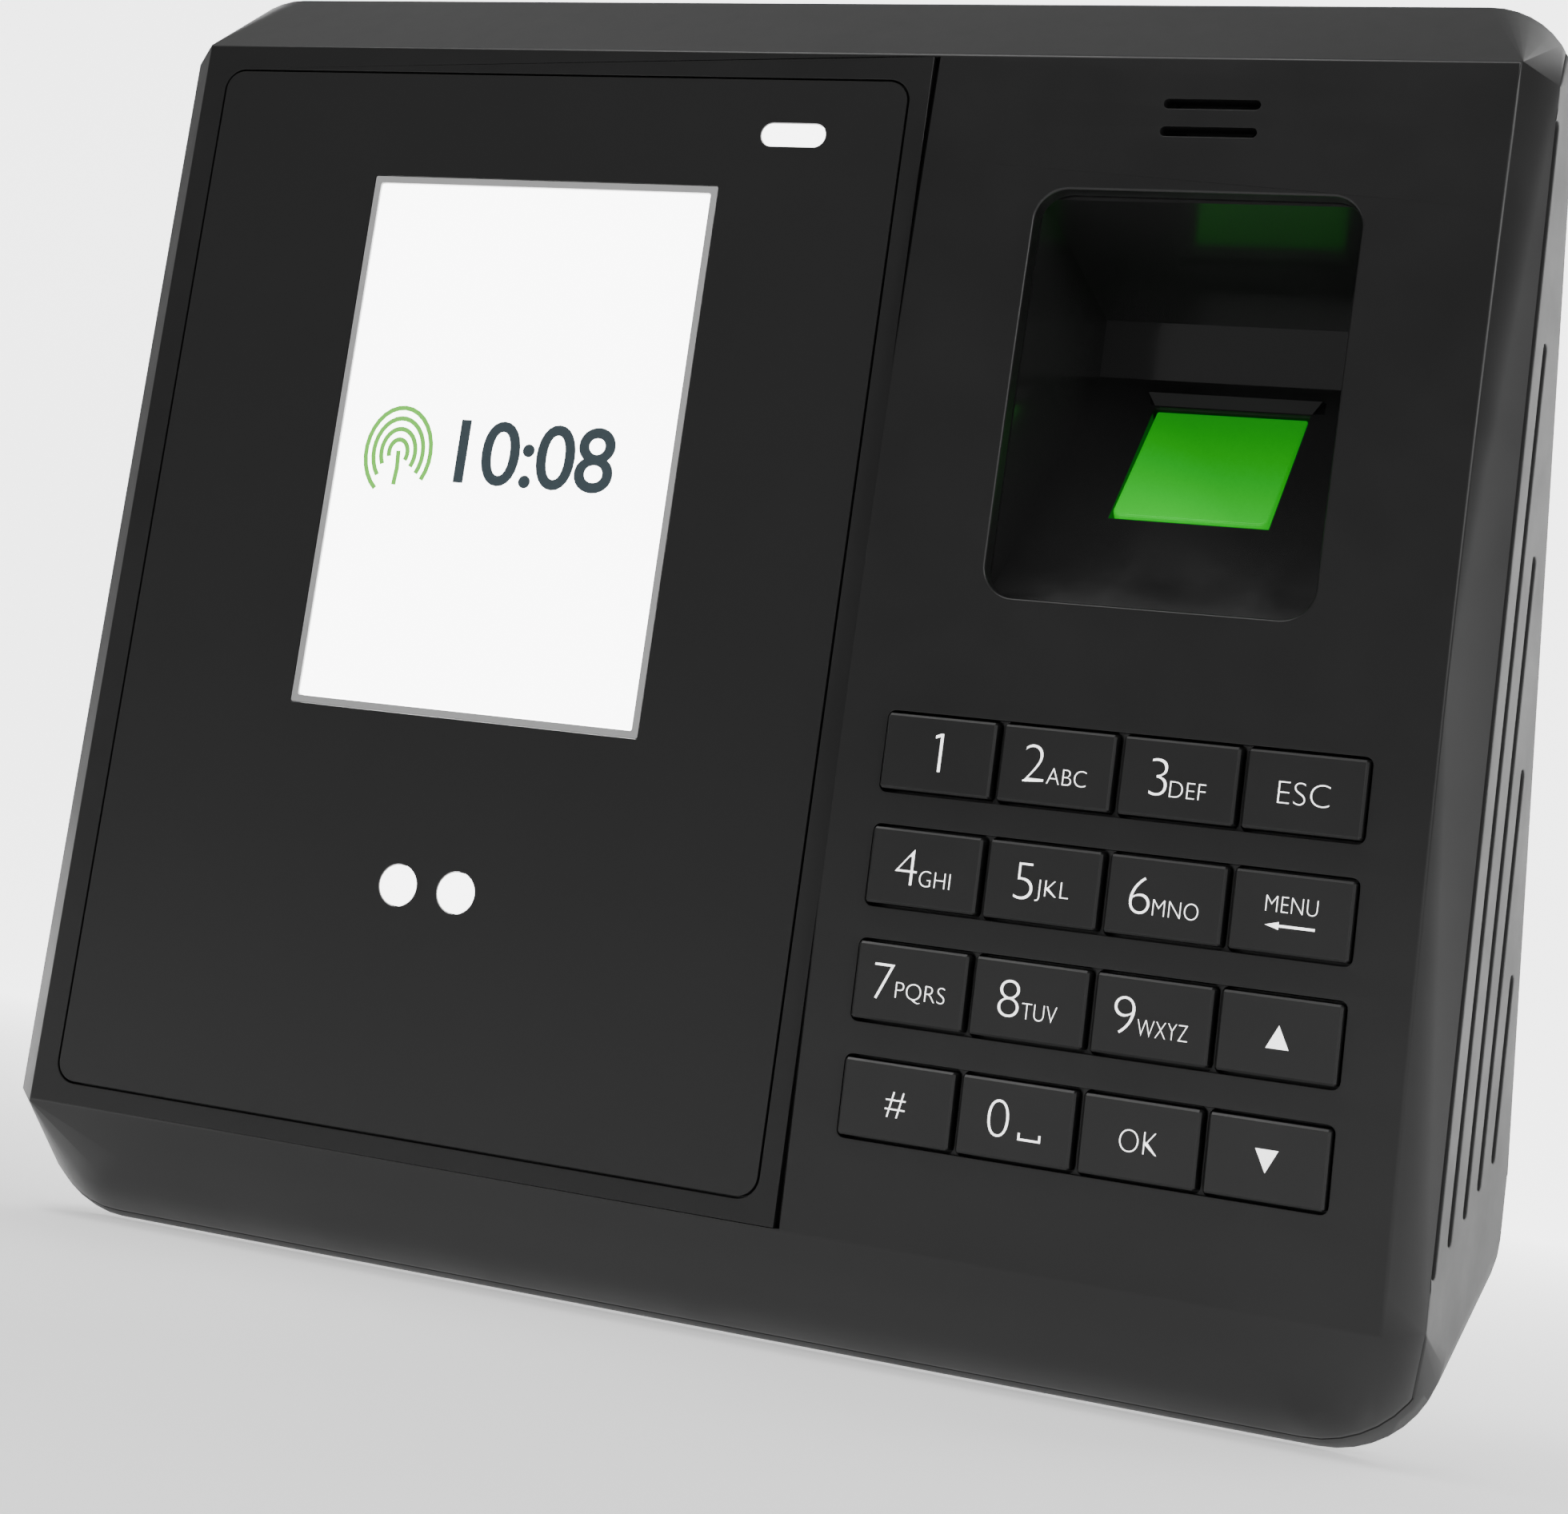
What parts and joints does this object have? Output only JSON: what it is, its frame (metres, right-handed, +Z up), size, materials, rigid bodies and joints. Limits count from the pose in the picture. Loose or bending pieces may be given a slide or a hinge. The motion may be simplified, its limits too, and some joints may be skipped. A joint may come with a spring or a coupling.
{
  "type": "fingerprint scanner terminal",
  "caption": "Wall terminal that reads a fingerprint, a face or a typed code, with a screen, a sensor bay, a keypad, a status light and a steel wall bracket.",
  "frame": {"origin": "on the wall plane, on the terminal's upright centre line, on the wall bracket's back face", "axes": "+X to the right seen from the front, the screen and keypad face -Y, +Z up; the wall is the plane y = 0"},
  "size_m": [0.1676, 0.0343, 0.1493],
  "materials": {
    "case_plastic": "fine satin",
    "gloss_black": "polished",
    "key_plastic": "satin",
    "grey_plastic": "satin",
    "dark_plastic": "matt",
    "screen_glass": "lit screen",
    "white_diffuser": "translucent white",
    "sensor_green": "lit from behind",
    "circuit_board": "solder mask",
    "silicone": "matt",
    "plated_steel": "nickel plated",
    "bracket_steel": "zinc plated"
  },
  "bodies": {
    "terminal": {"front_shell": "case_plastic", "rear_shell": "case_plastic", "face_window": "gloss_black", "lcd_frame": "grey_plastic", "lcd_module": "screen_glass", "status_light": "white_diffuser", "camera_window_left": "white_diffuser", "camera_window_right": "white_diffuser", "camera_module_left": "dark_plastic", "camera_module_right": "dark_plastic", "camera_board": "circuit_board", "sensor_bay": "gloss_black", "sensor_window": "sensor_green", "sensor_module": "dark_plastic", "keypad_mat": "silicone", "keypad_board": "circuit_board", "main_board": "circuit_board", "ethernet_jack": "plated_steel", "power_jack": "gloss_black", "terminal_block": "grey_plastic", "usb_port": "plated_steel", "speaker": "dark_plastic", "backup_battery": "grey_plastic", "tamper_switch": "dark_plastic", "wall_bracket": "bracket_steel", "lock_screw": "plated_steel", "case_screw_1": "plated_steel", "board_screw_1": "plated_steel", "case_screw_2": "plated_steel", "board_screw_2": "plated_steel", "case_screw_3": "plated_steel", "board_screw_3": "plated_steel", "case_screw_4": "plated_steel", "board_screw_4": "plated_steel"},
    "key_1_body": {"key_1": "key_plastic"},
    "key_2_body": {"key_2": "key_plastic"},
    "key_3_body": {"key_3": "key_plastic"},
    "key_esc_body": {"key_esc": "key_plastic"},
    "key_4_body": {"key_4": "key_plastic"},
    "key_5_body": {"key_5": "key_plastic"},
    "key_6_body": {"key_6": "key_plastic"},
    "key_menu_body": {"key_menu": "key_plastic"},
    "key_7_body": {"key_7": "key_plastic"},
    "key_8_body": {"key_8": "key_plastic"},
    "key_9_body": {"key_9": "key_plastic"},
    "key_up_body": {"key_up": "key_plastic"},
    "key_hash_body": {"key_hash": "key_plastic"},
    "key_0_body": {"key_0": "key_plastic"},
    "key_ok_body": {"key_ok": "key_plastic"},
    "key_down_body": {"key_down": "key_plastic"},
    "tamper_plunger_body": {"tamper_plunger": "white_diffuser"}
  },
  "joints": [
    {"name": "key_1_press", "type": "slide", "parent": "terminal", "child": "key_1_body", "axis": [0.0261, 0.9996, 0.0141], "range_m": [0, 0.0008], "stiffness_N_per_m": 400, "springref_m": -0.0004},
    {"name": "key_2_press", "type": "slide", "parent": "terminal", "child": "key_2_body", "axis": [0.0261, 0.9995, 0.0164], "range_m": [0, 0.0008], "stiffness_N_per_m": 400, "springref_m": -0.0004},
    {"name": "key_3_press", "type": "slide", "parent": "terminal", "child": "key_3_body", "axis": [0.0261, 0.9995, 0.0186], "range_m": [0, 0.0008], "stiffness_N_per_m": 400, "springref_m": -0.0004},
    {"name": "key_esc_press", "type": "slide", "parent": "terminal", "child": "key_esc_body", "axis": [0.026, 0.9994, 0.0209], "range_m": [0, 0.0008], "stiffness_N_per_m": 400, "springref_m": -0.0004},
    {"name": "key_4_press", "type": "slide", "parent": "terminal", "child": "key_4_body", "axis": [0.023, 0.9994, 0.0271], "range_m": [0, 0.0008], "stiffness_N_per_m": 400, "springref_m": -0.0004},
    {"name": "key_5_press", "type": "slide", "parent": "terminal", "child": "key_5_body", "axis": [0.023, 0.9992, 0.0314], "range_m": [0, 0.0008], "stiffness_N_per_m": 400, "springref_m": -0.0004},
    {"name": "key_6_press", "type": "slide", "parent": "terminal", "child": "key_6_body", "axis": [0.023, 0.9991, 0.0356], "range_m": [0, 0.0008], "stiffness_N_per_m": 400, "springref_m": -0.0004},
    {"name": "key_menu_press", "type": "slide", "parent": "terminal", "child": "key_menu_body", "axis": [0.023, 0.9989, 0.0399], "range_m": [0, 0.0008], "stiffness_N_per_m": 400, "springref_m": -0.0004},
    {"name": "key_7_press", "type": "slide", "parent": "terminal", "child": "key_7_body", "axis": [0.0181, 0.999, 0.04], "range_m": [0, 0.0008], "stiffness_N_per_m": 400, "springref_m": -0.0004},
    {"name": "key_8_press", "type": "slide", "parent": "terminal", "child": "key_8_body", "axis": [0.0181, 0.9988, 0.0463], "range_m": [0, 0.0008], "stiffness_N_per_m": 400, "springref_m": -0.0004},
    {"name": "key_9_press", "type": "slide", "parent": "terminal", "child": "key_9_body", "axis": [0.0181, 0.9984, 0.0527], "range_m": [0, 0.0008], "stiffness_N_per_m": 400, "springref_m": -0.0004},
    {"name": "key_up_press", "type": "slide", "parent": "terminal", "child": "key_up_body", "axis": [0.0181, 0.9981, 0.059], "range_m": [0, 0.0008], "stiffness_N_per_m": 400, "springref_m": -0.0004},
    {"name": "key_hash_press", "type": "slide", "parent": "terminal", "child": "key_hash_body", "axis": [0.0112, 0.9985, 0.053], "range_m": [0, 0.0008], "stiffness_N_per_m": 400, "springref_m": -0.0004},
    {"name": "key_0_press", "type": "slide", "parent": "terminal", "child": "key_0_body", "axis": [0.0112, 0.9981, 0.0613], "range_m": [0, 0.0008], "stiffness_N_per_m": 400, "springref_m": -0.0004},
    {"name": "key_ok_press", "type": "slide", "parent": "terminal", "child": "key_ok_body", "axis": [0.0112, 0.9975, 0.0697], "range_m": [0, 0.0008], "stiffness_N_per_m": 400, "springref_m": -0.0004},
    {"name": "key_down_press", "type": "slide", "parent": "terminal", "child": "key_down_body", "axis": [0.0112, 0.9969, 0.078], "range_m": [0, 0.0008], "stiffness_N_per_m": 400, "springref_m": -0.0004},
    {"name": "tamper_plunger_slide", "type": "slide", "parent": "terminal", "child": "tamper_plunger_body", "axis": [0, -1, 0], "range_m": [0, 0.0018], "stiffness_N_per_m": 200, "springref_m": -0.0008}
  ]
}
